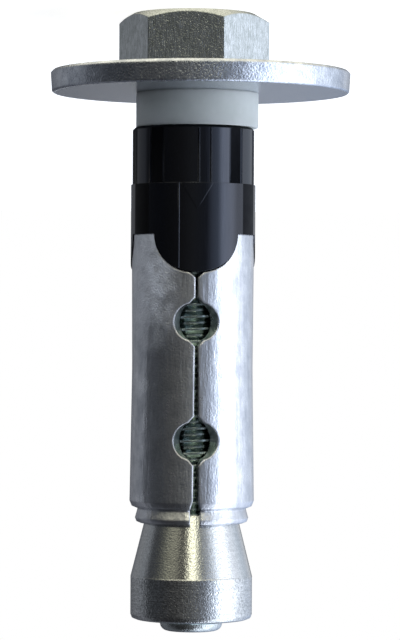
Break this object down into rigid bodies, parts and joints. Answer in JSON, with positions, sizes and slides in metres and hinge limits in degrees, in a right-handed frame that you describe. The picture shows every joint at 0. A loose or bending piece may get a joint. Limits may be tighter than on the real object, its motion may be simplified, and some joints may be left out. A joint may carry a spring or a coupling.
{
  "type": "sleeve expansion anchor",
  "caption": "Sleeve expansion anchor for masonry: a hex bolt through a plate washer, a plastic spacer, a plastic crush sleeve and a slotted steel sleeve draws a cone nut into the sleeve.",
  "frame": {"origin": "centre of the hex head's flat top face, on which the anchor stands", "axes": "+Z along the bolt from the head to the tip; -Y faces the seam of the steel expansion sleeve"},
  "size_m": [0.0366, 0.0366, 0.0752],
  "materials": {
    "bolt_steel": "bright zinc plating",
    "washer_steel": "mottled zinc plating",
    "white_plastic": "milky, slightly translucent plastic",
    "black_plastic": "semi-gloss moulded plastic",
    "sleeve_steel": "satin zinc plating",
    "nut_steel": "satin zinc plating"
  },
  "bodies": {
    "sleeves": {"expansion_sleeve": "sleeve_steel", "crush_sleeve": "black_plastic", "spacer_ring": "white_plastic", "washer": "washer_steel"},
    "bolt": {"hex_bolt": "bolt_steel"},
    "nut": {"cone_nut": "nut_steel"}
  },
  "joints": [
    {"name": "bolt_turn", "type": "hinge", "parent": "sleeves", "child": "bolt", "pos_m": [0, 0, 0], "axis": [0, 0, -1], "range_deg": [0, 3240]},
    {"name": "cone_travel", "type": "slide", "parent": "sleeves", "child": "nut", "axis": [0, 0, 1], "range_m": [0, 0.0135]}
  ],
  "couplings": [
    {"joint": "cone_travel", "follows": "bolt_turn", "m_per_rad": 0.00023873}
  ]
}
